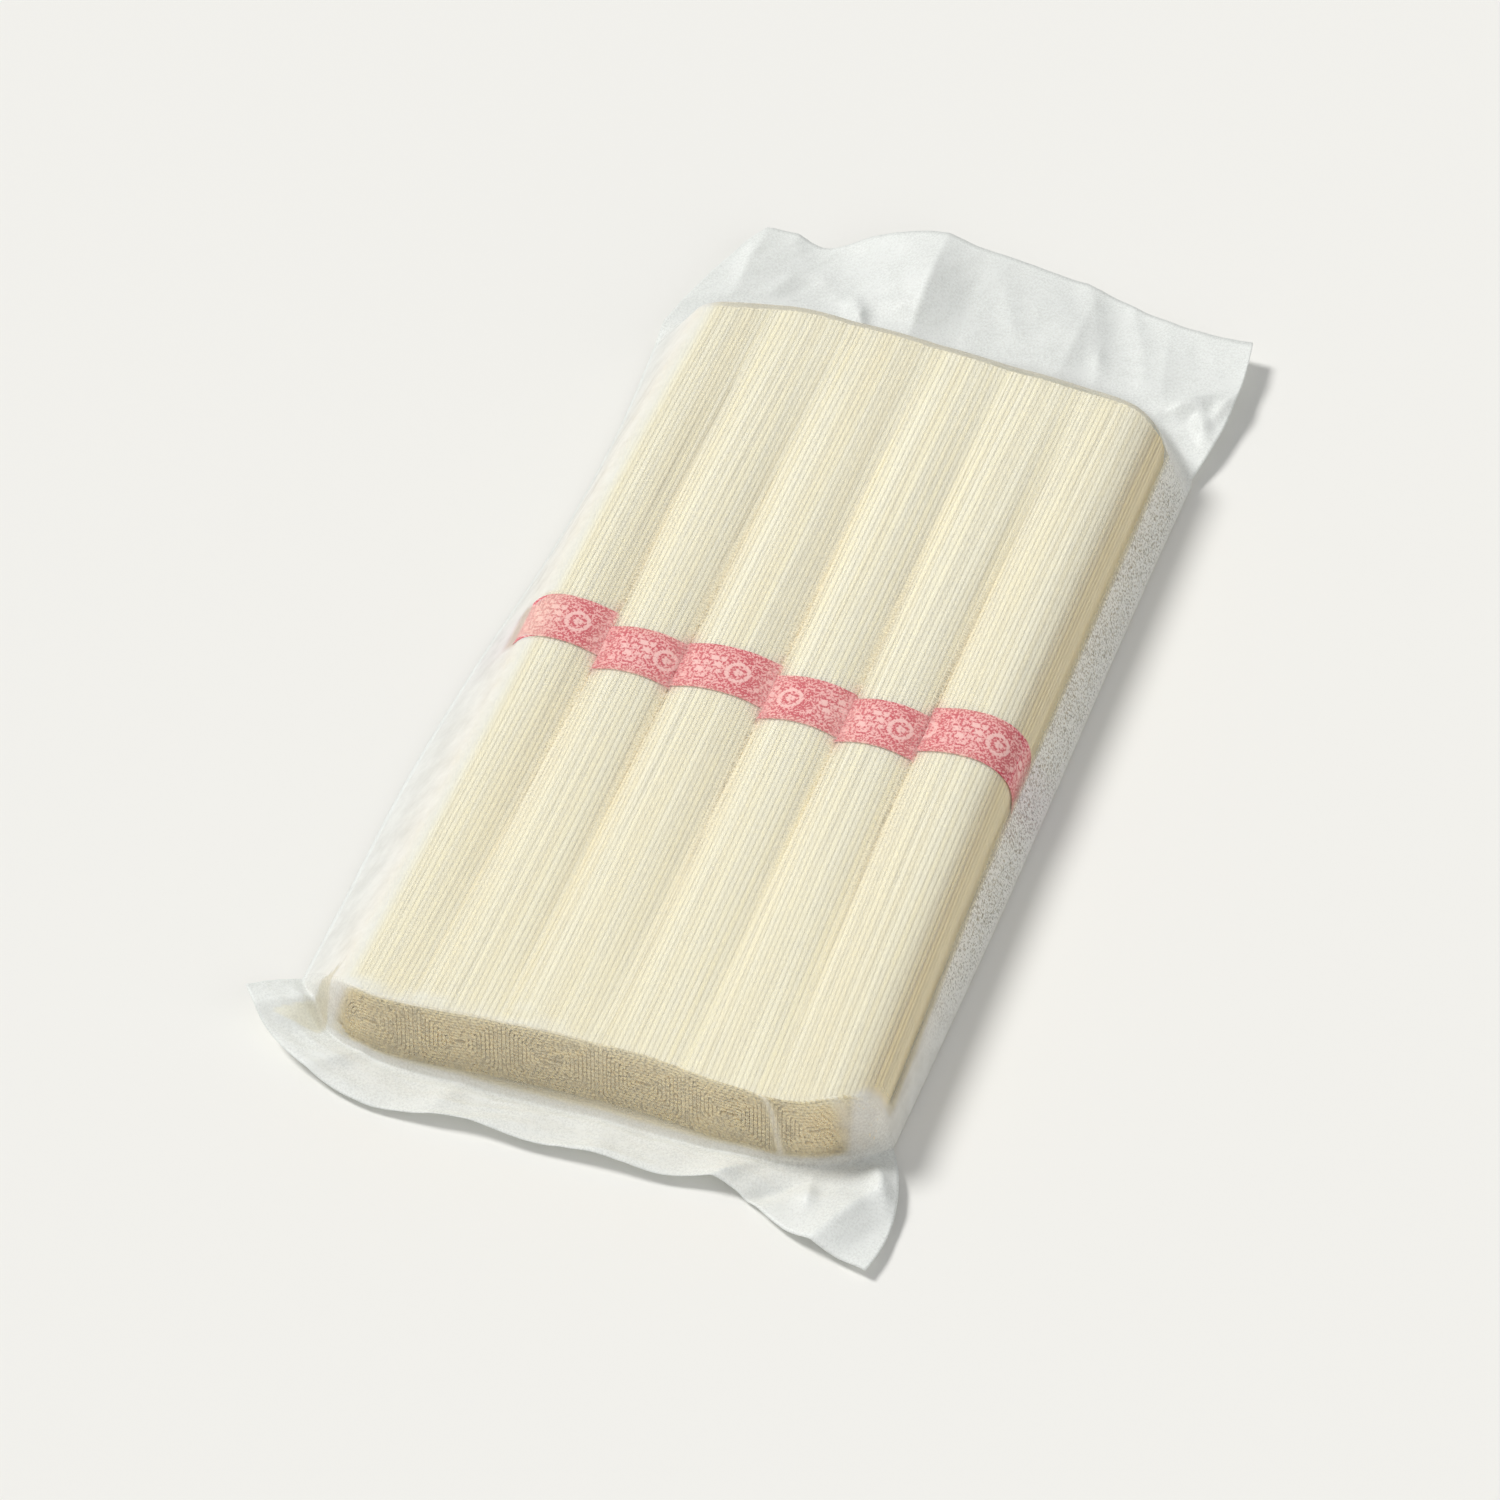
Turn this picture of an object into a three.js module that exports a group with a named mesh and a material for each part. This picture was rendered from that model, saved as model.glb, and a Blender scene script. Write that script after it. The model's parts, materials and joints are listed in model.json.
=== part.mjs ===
// A sealed see-through pack of dried noodles: six paper-banded bundles side by side, in a flat
// film tube with a short fin at the near end and a long one at the far end. It lies on its back.
// X runs across the bundles, Y along the noodles from the near end to the far one, and Z up.
// The origin is under the middle of the whole pack, on the surface that it rests on.
import * as THREE from 'three';

const { lerp, inverseLerp, clamp, smoothstep } = THREE.MathUtils;

// Driving dimensions, in millimetres. Until the last step, X and Y are measured from the middle
// of the noodles.
const NOODLE_LENGTH = 192;
const STRAND_PITCH = 1.05; // from one strand to the next
const STRAND_RELIEF = 0.34; // groove between two strands, under the film
const BUNDLE_WIDTHS = [18.2, 15.3, 18.8, 15.8, 15.0, 19.2]; // at the bands, left to right
const LEFT_FLANK = -50.6; // widest point of the first bundle, at the bands
const RIGHT_FLANK = 51.7; // widest point of the last bundle, at the bands
const HEIGHT_AT_BANDS = 18.6;
const HEIGHT_AT_ENDS = 17.2;
const VALLEY_AT_BANDS = 5.0; // how far the film dips between two bundles
const VALLEY_AT_ENDS = 0.7;
const LOBE_ROUNDNESS = 2.1; // 2 is an ellipse, more is squarer
const BAND_WIDTH = 11.8;
const BAND_RELIEF = 0.3;
const BAND_PLACES = [4.6, 0.7, 1.4, -1.5, -2.6, 0.2]; // middle of each band along Y
const NEAR_CREASE_END = -100; // Y where the film tube's two side creases start
const FAR_CREASE_END = 105; // and where they end; their X at even steps between is
const LEFT_CREASE = [-62.0, -61.5, -61.2, -59.0, -55.6, -54.4, -55.8];
const RIGHT_CREASE = [55.0, 55.6, 56.2, 56.4, 56.4, 56.6, 57.0];
const FILM_EDGE = 0.9; // thickness of the two films where they lie together
const CREASE_LIFT = 0.4;
const FLAT_UNDERSIDE = { halfWidth: 46, near: -86, far: 94 }; // where it touches the table

// How far the flanks move out at the near end and in at the far one.
const NEAR_SPREAD = { left: -2.9, right: 1.4 };
const FAR_SPREAD = { left: 2.2, right: 0.1 };

// Where the top edges of the cut ends run, left crease to right crease, as lengths beyond half
// of the noodle length.
const NEAR_END_REACH = [-13.5, -0.9, 0.2, -0.9, -1.3, -1.1, 0.6, 0.0, -9.5];
const FAR_END_REACH = [1.0, 2.0, 5.1, 4.9, 4.1, 2.8, 1.8, 0.3, -5.0];

// The two fins, where the films lie together. side is -1 at the near end and 1 at the far one.
// root is how far from the middle of the noodles the fin starts, there and at its two corners.
// sideBulge is how far each side bows towards +X between root and edge.
// edge is its outer edge from left to right, as X, Y and height of the middle of the film.
// Each crumple has its place across and outward and its reach both ways, as shares of the fin.
const NEAR_FIN = {
  side: -1,
  root: { middle: 99.2, left: 84.0, right: 88.0, squareness: 7, height: 0.9 },
  sideBulge: { left: 0.5, right: 3.2 },
  edge: [
    [-69.0, -93.6, 7.0], [-63.4, -99.4, 4.0], [-53.4, -105.2, 2.4], [-41.6, -109.2, 1.4],
    [-31.4, -109.4, 2.2], [-20.4, -108.4, 3.2], [-8.6, -109.2, 2.4], [4.2, -108.6, 3.2],
    [16.6, -108.8, 2.4], [30.0, -107.4, 2.2], [44.4, -114.4, 1.6], [59.8, -118.4, 2.4],
  ],
  crumples: [
    { across: 0.06, out: 0.4, height: 1.6, wide: 0.05, long: 0.4 },
    { across: 0.87, out: 0.35, height: 3.2, wide: 0.045, long: 0.35 },
    { across: 0.94, out: 0.6, height: 1.8, wide: 0.03, long: 0.3 },
  ],
};
const FAR_FIN = {
  side: 1,
  root: { middle: 116.0, left: 104.0, right: 95.0, squareness: 5, height: 2.2 },
  sideBulge: { left: -1.2, right: 1.8 },
  edge: [
    [-43.8, 132.8, 5.2], [-38.2, 134.0, 4.6], [-30.6, 133.6, 3.2], [-21.6, 137.8, 5.2],
    [-11.0, 140.2, 6.6], [0.6, 139.8, 6.6], [12.2, 139.8, 5.0], [24.4, 138.8, 3.6],
    [34.8, 136.0, 3.2], [46.4, 133.4, 3.8], [58.0, 132.8, 5.0],
  ],
  crumples: [
    { across: 0.16, out: 0.35, height: 1.8, wide: 0.06, long: 0.5 },
    { across: 0.4, out: 0.4, height: 3.0, wide: 0.06, long: 0.6 },
    { across: 0.56, out: 0.55, height: -1.6, wide: 0.05, long: 0.4 },
    { across: 0.93, out: 0.2, height: 2.6, wide: 0.05, long: 0.2 },
  ],
};

// How the film comes down from the top edge of each end to the root of its fin: share of the
// way out, and share of the height that is left there.
const NEAR_SLOPE = [[0.25, 0.95], [0.5, 0.78], [0.68, 0.42], [0.84, 0.13], [1, 0]];
const FAR_SLOPE = [[0.09, 0.95], [0.25, 0.74], [0.48, 0.38], [0.74, 0.12], [1, 0]];

// How finely the surface is divided.
const FILM_COLUMNS = 56; // across the ends and fins
const FIN_STEPS = 5; // from a fin's root to its edge
const NEAR_HALF_ROWS = [0, 0.03, 0.12, 0.24, 0.36]; // shares of the length of the noodles
const FAR_HALF_ROWS = [0.63, 0.74, 0.86, 0.96, 1];
const FLANK_STEPS = 60; // places tried for where the film leaves a flank

const HALF_LENGTH = NOODLE_LENGTH / 2;
const STRANDS_ACROSS = Math.round((RIGHT_FLANK - LEFT_FLANK) / STRAND_PITCH);
const WIDTHS_TOGETHER = BUNDLE_WIDTHS.reduce((sum, width) => sum + width, 0);

// Value of a smooth curve through evenly spaced numbers, at a share of its length.
function through(values, share) {
  const place = clamp(share, 0, 1) * (values.length - 1);
  const index = Math.min(Math.floor(place), values.length - 2);
  const at = (i) => values[clamp(i, 0, values.length - 1)];
  const t = place - index;
  const [a, b, c, d] = [at(index - 1), at(index), at(index + 1), at(index + 2)];
  return b + 0.5 * t * (c - a + t * (2 * a - 5 * b + 4 * c - d + t * (3 * (b - c) + d - a)));
}

const pointThrough = (points, share) =>
  new THREE.Vector3(...[0, 1, 2].map((axis) => through(points.map((p) => p[axis]), share)));

// How far a place is towards the near or the far end, from 0 at the bands to 1.
const nearness = (y) => clamp(-y / HALF_LENGTH, 0, 1) ** 1.5;
const farness = (y) => clamp(y / HALF_LENGTH, 0, 1) ** 1.5;

const spread = (side, y) => NEAR_SPREAD[side] * nearness(y) + FAR_SPREAD[side] * farness(y);
const flankLeft = (y) => LEFT_FLANK + spread('left', y);
const flankRight = (y) => RIGHT_FLANK + spread('right', y);
const alongCrease = (y) => inverseLerp(NEAR_CREASE_END, FAR_CREASE_END, y);
const creaseLeft = (y) => through(LEFT_CREASE, alongCrease(y));
const creaseRight = (y) => through(RIGHT_CREASE, alongCrease(y));

const bulge = (y) => 1 - Math.min(1, Math.abs(y) / HALF_LENGTH) ** 2.2;
const packHeight = (y) => lerp(HEIGHT_AT_ENDS, HEIGHT_AT_BANDS, bulge(y));
const valleyDepth = (y) => lerp(VALLEY_AT_ENDS, VALLEY_AT_BANDS, bulge(y));

// Borders between the bundles. Away from the bands their widths even out.
function bundleEdges(y) {
  const evenness = 0.5 * (1 - bulge(y));
  const edges = [flankLeft(y)];
  for (const width of BUNDLE_WIDTHS) {
    const share = lerp(width / WIDTHS_TOGETHER, 1 / BUNDLE_WIDTHS.length, evenness);
    edges.push(edges.at(-1) + share * (flankRight(y) - flankLeft(y)));
  }
  return edges;
}

function bundleAt(x, y) {
  const edges = bundleEdges(y);
  const index = edges.slice(1, -1).filter((edge) => edge <= x).length;
  const middle = (edges[index] + edges[index + 1]) / 2;
  return { index, middle, half: edges[index + 1] - middle };
}

const roundShare = (u) =>
  (1 - Math.min(1, Math.abs(u)) ** LOBE_ROUNDNESS) ** (1 / LOBE_ROUNDNESS);

// Height of the noodles: shallow valleys inside the pack, and a full round on its two flanks.
function noodleHeight(x, y) {
  const { index, middle, half } = bundleAt(x, y);
  const u = (x - middle) / half;
  const onFlank = (index === 0 && u < 0) || (index === BUNDLE_WIDTHS.length - 1 && u > 0);
  const fall = onFlank ? packHeight(y) / 2 : valleyDepth(y);
  return packHeight(y) - fall * (1 - roundShare(u));
}

// Height of the film at x, straight between the place where it leaves a flank and the crease.
function filmHeight(x, y) {
  const side = x < 0 ? -1 : 1;
  const crease = side < 0 ? creaseLeft(y) : creaseRight(y);
  const flank = side < 0 ? flankLeft(y) : flankRight(y);
  const edges = bundleEdges(y);
  const middle = side < 0 ? (edges[0] + edges[1]) / 2 : (edges.at(-1) + edges.at(-2)) / 2;
  if (side * (x - middle) <= 0) return { height: noodleHeight(x, y), onNoodles: true };
  let best = { steepness: 0, x: middle };
  for (let step = 0; step < FLANK_STEPS; step++) {
    const at = lerp(middle, flank, step / FLANK_STEPS);
    const steepness = (noodleHeight(at, y) - FILM_EDGE - CREASE_LIFT) / Math.abs(crease - at);
    if (steepness > best.steepness) best = { steepness, x: at };
  }
  if (side * (x - best.x) <= 0) return { height: noodleHeight(x, y), onNoodles: true };
  const height = FILM_EDGE + CREASE_LIFT + best.steepness * Math.abs(crease - x);
  return { height, onNoodles: false };
}

// Y of the top edge of an end.
function endY(fin, across) {
  const reach = fin.side < 0 ? NEAR_END_REACH : FAR_END_REACH;
  return fin.side * (HALF_LENGTH + through(reach, across));
}

// Where the middle of the film lies at a fin's root.
function finRoot({ side, root }, across) {
  const towardSide = Math.abs(2 * across - 1) ** root.squareness;
  const y = side * lerp(root.middle, across < 0.5 ? root.left : root.right, towardSide);
  return new THREE.Vector3(lerp(creaseLeft(y), creaseRight(y), across), y, root.height);
}

// Middle of the film in a fin: across from 0 to 1, and out from 0 at the root to 1 at the edge.
function finMiddle(fin, across, out) {
  const place = finRoot(fin, across).lerp(pointThrough(fin.edge, across), out);
  for (const crumple of fin.crumples) {
    const acrossReach = (across - crumple.across) / crumple.wide;
    const outReach = (out - crumple.out) / crumple.long;
    const fade = smoothstep(out, 0, 0.25);
    place.z += crumple.height * fade * Math.exp(-(acrossReach ** 2) - outReach ** 2);
  }
  place.z = Math.max(place.z, FILM_EDGE / 2);
  const bow = 4 * out * (1 - out);
  place.x += bow * lerp(fin.sideBulge.left, fin.sideBulge.right, across);
  return place;
}

const evenShares = (steps) => Array.from({ length: steps + 1 }, (_, i) => i / steps);

// A row is one cross-section: an upper and a lower line of points from the left crease to the
// right one, each with its place across from 0 to 1.
const lineOf = (shares, pointAt) => shares.map((across) => ({ across, point: pointAt(across) }));

function finRow(fin, out) {
  const filmAt = (lift) => (across) => {
    const place = finMiddle(fin, across, out);
    place.z += lift;
    return place;
  };
  const shares = evenShares(FILM_COLUMNS);
  const upper = lineOf(shares, filmAt(FILM_EDGE / 2));
  const lower = lineOf(shares, filmAt(-FILM_EDGE / 2));
  return { upper, lower };
}

// How far a place beside the flat underside is on the way to the crease, from 0 to 1.
function towardCrease(x, y) {
  const crease = x < 0 ? creaseLeft(y) : creaseRight(y);
  return clamp(inverseLerp(FLAT_UNDERSIDE.halfWidth, Math.abs(crease), Math.abs(x)), 0, 1);
}

// A row between the top edge of an end, where out is 0, and the root of its fin, where it is 1.
function slopeRow(fin, out, heightLeft) {
  const flatEnd = fin.side < 0 ? FLAT_UNDERSIDE.near : FLAT_UNDERSIDE.far;
  const along = (across) => {
    const root = finRoot(fin, across);
    const y = lerp(endY(fin, across), root.y, out);
    return new THREE.Vector3(lerp(creaseLeft(y), creaseRight(y), across), y, root.z);
  };
  const upperAt = (across) => {
    const place = along(across);
    const full = filmHeight(place.x, endY(fin, across)).height;
    place.z = lerp(place.z + FILM_EDGE / 2, full, heightLeft);
    return place;
  };
  const lowerAt = (across) => {
    const root = finRoot(fin, across);
    const topY = endY(fin, across);
    const beside = towardCrease(lerp(creaseLeft(topY), creaseRight(topY), across), topY);
    const y = lerp(lerp(flatEnd, topY, beside), root.y, out);
    const z = lerp(CREASE_LIFT * beside, root.z - FILM_EDGE / 2, out);
    return new THREE.Vector3(lerp(creaseLeft(y), creaseRight(y), across), y, z);
  };
  const shares = evenShares(FILM_COLUMNS);
  return { upper: lineOf(shares, upperAt), lower: lineOf(shares, lowerAt) };
}

// Places across one row of strands: the two creases, and each strand's crest and groove.
function strandShares(y) {
  const width = creaseRight(y) - creaseLeft(y);
  const first = (flankLeft(y) - creaseLeft(y)) / width;
  const last = (flankRight(y) - creaseLeft(y)) / width;
  const strands = evenShares(2 * STRANDS_ACROSS).map((share) => lerp(first, last, share));
  return [0, ...strands, 1];
}

// The underside of a row over the noodles: the two creases, and the flat between them.
function undersideLine(flatY, yAt) {
  const [leftY, rightY] = [yAt(0), yAt(1)];
  const [left, right] = [creaseLeft(leftY), creaseRight(rightY)];
  const flat = FLAT_UNDERSIDE.halfWidth;
  const points = [[left, leftY, CREASE_LIFT], [-flat, flatY, 0], [flat, flatY, 0]];
  points.push([right, rightY, CREASE_LIFT]);
  return points.map((point) => ({
    across: inverseLerp(left, right, point[0]),
    point: new THREE.Vector3(...point),
  }));
}

// A row over the noodles. yAt gives its Y at a place across, and relief what a band adds there.
function bodyRow(middleY, yAt, relief) {
  const upper = strandShares(middleY).map((across, index) => {
    const y = yAt(across);
    const x = lerp(creaseLeft(y), creaseRight(y), across);
    const { height, onNoodles } = filmHeight(x, y);
    const groove = onNoodles && index % 2 === 0 ? STRAND_RELIEF : 0;
    const z = height + (onNoodles ? relief : 0) - (relief > 0 ? groove / 3 : groove);
    return { across, point: new THREE.Vector3(x, y, z) };
  });
  const share = inverseLerp(-HALF_LENGTH, HALF_LENGTH, middleY);
  const flatY = lerp(FLAT_UNDERSIDE.near, FLAT_UNDERSIDE.far, share);
  return { upper, lower: undersideLine(flatY, yAt) };
}

const noodleRow = (share) =>
  bodyRow(lerp(-HALF_LENGTH, HALF_LENGTH, share), (across) =>
    lerp(endY(NEAR_FIN, across), endY(FAR_FIN, across), share), 0);

// A row along one edge of the six bands, each a little further along than the next.
function bandRow(offset, relief) {
  const yAt = (across) => {
    const x = lerp(creaseLeft(0), creaseRight(0), across);
    return BAND_PLACES[bundleAt(x, 0).index] + offset;
  };
  return bodyRow(offset, yAt, relief);
}

function packRows() {
  const bandEdge = BAND_WIDTH / 2;
  const bandOffsets = [[-bandEdge - BAND_RELIEF, 0], [-bandEdge, BAND_RELIEF]];
  const finOuts = evenShares(FIN_STEPS).slice(1);
  return [
    ...finOuts.toReversed().map((out) => finRow(NEAR_FIN, out)),
    ...NEAR_SLOPE.toReversed().map(([out, left]) => slopeRow(NEAR_FIN, out, left)),
    ...NEAR_HALF_ROWS.map(noodleRow),
    ...bandOffsets.map(([offset, relief]) => bandRow(offset, relief)),
    ...bandOffsets.toReversed().map(([offset, relief]) => bandRow(-offset, relief)),
    ...FAR_HALF_ROWS.map(noodleRow),
    ...FAR_SLOPE.map(([out, left]) => slopeRow(FAR_FIN, out, left)),
    ...finOuts.map((out) => finRow(FAR_FIN, out)),
  ];
}

// Triangles between two lines of points that run the same way, with any number of points each.
function stitch(triangles, near, far) {
  let [i, j] = [0, 0];
  while (i < near.length - 1 || j < far.length - 1) {
    const nextNear = near[i + 1]?.across ?? Infinity;
    const nextFar = far[j + 1]?.across ?? Infinity;
    if (nextNear <= nextFar) {
      triangles.push([near[i], near[i + 1], far[j]]);
      i++;
    } else {
      triangles.push([near[i], far[j + 1], far[j]]);
      j++;
    }
  }
}

function packGeometry() {
  const rows = packRows();
  const triangles = [];
  for (let k = 0; k < rows.length - 1; k++) {
    stitch(triangles, rows[k].upper, rows[k + 1].upper);
    stitch(triangles, rows[k + 1].lower, rows[k].lower);
  }
  const sideLine = (sheet, end) =>
    rows.map((row, k) => ({ across: k, point: row[sheet].at(end).point }));
  stitch(triangles, sideLine('lower', -1), sideLine('upper', -1));
  stitch(triangles, sideLine('upper', 0), sideLine('lower', 0));
  stitch(triangles, rows[0].lower, rows[0].upper);
  stitch(triangles, rows.at(-1).upper, rows.at(-1).lower);
  const corners = triangles.flat().map((corner) => corner.point);
  const geometry = new THREE.BufferGeometry().setFromPoints(corners);
  geometry.computeBoundingBox();
  const { min, max } = geometry.boundingBox;
  geometry.translate(-(min.x + max.x) / 2, -(min.y + max.y) / 2, -min.z);
  geometry.computeVertexNormals();
  return geometry;
}

const film = new THREE.MeshStandardMaterial({ color: 0xf0ead2, roughness: 0.35, metalness: 0 });
const pack = new THREE.Mesh(packGeometry(), film);
pack.name = 'noodle_pack';

const model = new THREE.Group();
model.add(pack);

export default model;
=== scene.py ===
"""A sealed see-through pack of dried noodles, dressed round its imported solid.

The pack lies on its back. X runs across it, Y along the noodles from the near end to the far one,
and Z up. It is made of the film, six bundles of strands and a paper band round each bundle.
"""

import json
import math
from dataclasses import dataclass

import bpy
import numpy as np
from bpy.props import FloatProperty, FloatVectorProperty, IntProperty, PointerProperty
from bpy.types import Operator, Panel, PropertyGroup
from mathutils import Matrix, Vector

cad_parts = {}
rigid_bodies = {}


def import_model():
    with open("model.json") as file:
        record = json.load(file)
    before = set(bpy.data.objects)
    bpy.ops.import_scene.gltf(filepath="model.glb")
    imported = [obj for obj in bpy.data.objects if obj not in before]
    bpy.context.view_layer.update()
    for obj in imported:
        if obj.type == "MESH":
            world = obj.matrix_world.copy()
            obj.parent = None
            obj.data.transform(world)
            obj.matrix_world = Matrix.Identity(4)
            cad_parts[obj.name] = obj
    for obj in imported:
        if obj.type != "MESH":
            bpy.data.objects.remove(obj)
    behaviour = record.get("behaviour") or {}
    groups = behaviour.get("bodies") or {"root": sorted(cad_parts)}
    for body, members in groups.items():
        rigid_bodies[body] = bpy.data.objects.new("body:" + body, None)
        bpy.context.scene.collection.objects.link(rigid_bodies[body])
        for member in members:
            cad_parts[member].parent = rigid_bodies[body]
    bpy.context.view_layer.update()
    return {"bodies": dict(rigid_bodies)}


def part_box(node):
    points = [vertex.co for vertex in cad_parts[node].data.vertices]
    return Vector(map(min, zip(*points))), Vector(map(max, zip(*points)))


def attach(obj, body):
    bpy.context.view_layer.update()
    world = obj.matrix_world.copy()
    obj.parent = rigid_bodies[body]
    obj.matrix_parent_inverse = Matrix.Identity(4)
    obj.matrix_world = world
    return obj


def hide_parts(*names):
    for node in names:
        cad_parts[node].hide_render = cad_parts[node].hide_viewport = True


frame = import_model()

bl_info = {
    "name": "Dried Noodle Pack",
    "version": (1, 0, 0),
    "blender": (4, 5, 0),
    "location": "3D View > Sidebar > Noodle Pack",
    "description": "Makes a see-through pack of paper-banded bundles of dried noodles",
    "category": "Add Mesh",
}

MM = 0.001
SOLID = "noodle_pack"

# Widths and places of the six bundles, from left to right.
BUNDLE_WIDTHS = np.array([18.2, 15.3, 18.8, 15.8, 15.0, 19.2]) * MM
BAND_PLACES = np.array([4.6, 0.7, 1.4, -1.5, -2.6, 0.2]) * MM
LAST_BUNDLE = len(BUNDLE_WIDTHS) - 1
LEFT_FLANK, RIGHT_FLANK = -50.6 * MM, 51.7 * MM

# How far the flanks move along X at the near end and at the far one.
LEFT_SPREAD = np.array([-2.9, 2.2]) * MM
RIGHT_SPREAD = np.array([1.4, 0.1]) * MM

# X of the film tube's two side creases, at even steps between two places along Y.
CREASE_ENDS = np.array([-100, 105]) * MM
LEFT_CREASE = np.array([-62.0, -61.5, -61.2, -59.0, -55.6, -54.4, -55.8]) * MM
RIGHT_CREASE = np.array([55.0, 55.6, 56.2, 56.4, 56.4, 56.6, 57.0]) * MM
CREASE_LIFT = 0.4 * MM
CREASE_THICKNESS = 0.25 * MM

FLAT_HALF_WIDTH = 46 * MM  # of the underside, where it touches the table
LOBE_ROUNDNESS = 2.1  # 2 is an ellipse, more is squarer
INNER_CORNERS = (14.0, 4.2)  # the same between two bundles, at the ends and at the bands
SQUARER_BELOW = 1.2  # added to the roundness for the lower corners
VALLEY_SOFTNESS = 1.7 * MM  # how round the film's valleys are at their bottom
FILM_CLEARANCE = 0.25 * MM  # between the film and the strands that it touches
NOODLE_BOTTOM = 0.5 * MM  # of the lowest strands, over the table
BORDER_OVERLAP = 0.9 * MM  # how far the strands of two bundles reach in between each other
STRAND_SPREAD = 1.8  # width of a pressed strand, as a share of its spacing
STRAND_HEIGHT = 0.7  # its height, as a share of that spacing


@dataclass
class Fold:
    """A fold in the free film, along a straight line with a keen crest.

    The line goes through x and y and leans by turn, as X per Y. left and right are how far the
    film is lifted on both sides of the line, and long how far along it. A groove has a height
    below zero.
    """

    x: float
    y: float
    turn: float
    height: float
    left: float
    right: float
    long: float

    def lift(self, x, y):
        along = math.hypot(1, self.turn)
        beside = (x - self.x * MM - self.turn * (y - self.y * MM)) / along
        ahead = (y - self.y * MM + self.turn * (x - self.x * MM)) / along
        reach = np.where(beside < 0, self.left, self.right) * MM
        crest = np.clip(1 - np.abs(beside) / reach, 0, 1) ** 1.5
        return self.height * MM * crest * np.exp(-(ahead / (self.long * MM)) ** 2)


@dataclass
class Fin:
    """An end of the pack, where the two films lie together.

    side is -1 at the near end and 1 at the far one. reach is how far the top edge of the cut
    noodles runs beyond half of their length, from the left crease to the right one. roots are
    how far from the middle the fin starts: in the middle of the pack, left and right. edge is
    the outer edge from left to right. slope holds the two powers of the curve in which the film
    comes down to the root, and turns_milky where on its way it starts to turn milky and how long
    that takes. bow is how far each side bows towards +X. The folds are in millimetres.
    """

    side: int
    reach: np.ndarray
    roots: tuple
    squareness: float
    root_height: float
    flat_end: float
    slope: tuple
    turns_milky: tuple
    bow: tuple
    edge: np.ndarray
    folds: tuple

    def lift(self, x, y):
        return sum(fold.lift(x, y) for fold in self.folds)


NEAR_FIN = Fin(
    side=-1,
    reach=np.array([-13.5, -0.9, 0.2, -0.9, -1.3, -1.1, 0.6, 0.0, -9.5]) * MM,
    roots=(99.2 * MM, 84.0 * MM, 88.0 * MM),
    squareness=7,
    root_height=0.9 * MM,
    flat_end=86 * MM,
    slope=(3.5, 2.7),
    turns_milky=(0.80, 0.07),
    bow=(0.5 * MM, 3.2 * MM),
    edge=np.array([
        [-69.0, -93.6, 7.0], [-63.4, -99.4, 4.0], [-53.4, -105.2, 2.4], [-41.6, -109.2, 1.4],
        [-31.4, -109.4, 2.2], [-20.4, -108.4, 3.2], [-8.6, -109.2, 2.4], [4.2, -108.6, 3.2],
        [16.6, -108.8, 2.4], [30.0, -107.4, 2.2], [44.4, -114.4, 1.6], [59.8, -118.4, 2.4],
    ]) * MM,
    folds=(
        Fold(-57.0, -91.0, turn=1.5, height=4.2, left=10, right=5.5, long=9),
        Fold(-48.0, -101.0, turn=1.2, height=1.0, left=6, right=3, long=7),
        Fold(-26.0, -104.0, turn=0.3, height=0.9, left=9, right=6, long=7),
        Fold(4.0, -104.0, turn=-0.3, height=0.8, left=12, right=7, long=7),
        Fold(29.0, -104.5, turn=0.9, height=2.0, left=8, right=3, long=6),
        Fold(36.5, -106.5, turn=1.3, height=-2.0, left=4, right=3.5, long=5),
        Fold(52.5, -108.0, turn=0.55, height=3.4, left=11, right=6, long=10),
        Fold(44.5, -104.5, turn=-0.2, height=1.3, left=4, right=2.5, long=4),
        Fold(56.5, -99.0, turn=-0.6, height=2.6, left=4, right=3, long=5),
    ),
)
FAR_FIN = Fin(
    side=1,
    reach=np.array([1.0, 2.0, 5.1, 4.9, 4.1, 2.8, 1.8, 0.3, -5.0]) * MM,
    roots=(116.0 * MM, 104.0 * MM, 95.0 * MM),
    squareness=5,
    root_height=2.2 * MM,
    flat_end=94 * MM,
    slope=(1.4, 2.0),
    turns_milky=(0.0, 0.16),
    bow=(-1.2 * MM, 1.8 * MM),
    edge=np.array([
        [-43.8, 132.8, 5.2], [-38.2, 134.0, 4.6], [-30.6, 133.6, 3.2], [-21.6, 137.8, 5.2],
        [-11.0, 140.2, 6.6], [0.6, 139.8, 6.6], [12.2, 139.8, 5.0], [24.4, 138.8, 3.6],
        [34.8, 136.0, 3.2], [46.4, 133.4, 3.8], [58.0, 132.8, 5.0],
    ]) * MM,
    folds=(
        Fold(-44.0, 126.0, turn=0.1, height=1.4, left=6, right=12, long=9),
        Fold(-36.0, 121.0, turn=0.7, height=0.8, left=4, right=3, long=4),
        Fold(-7.7, 127.0, turn=0.0, height=3.6, left=19, right=9, long=14),
        Fold(-19.0, 116.5, turn=-0.6, height=2.2, left=4, right=2.5, long=4),
        Fold(24.0, 124.0, turn=0.05, height=1.7, left=18, right=7, long=12),
        Fold(30.0, 119.0, turn=-0.2, height=0.8, left=3, right=3, long=5),
        Fold(43.0, 122.0, turn=-0.2, height=1.0, left=11, right=6, long=10),
        Fold(51.0, 113.0, turn=1.6, height=2.6, left=4, right=3, long=6),
        Fold(55.0, 108.5, turn=-0.5, height=2.0, left=3, right=2, long=4),
        Fold(57.5, 113.5, turn=0.4, height=1.4, left=2.5, right=2, long=4),
    ),
)

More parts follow.
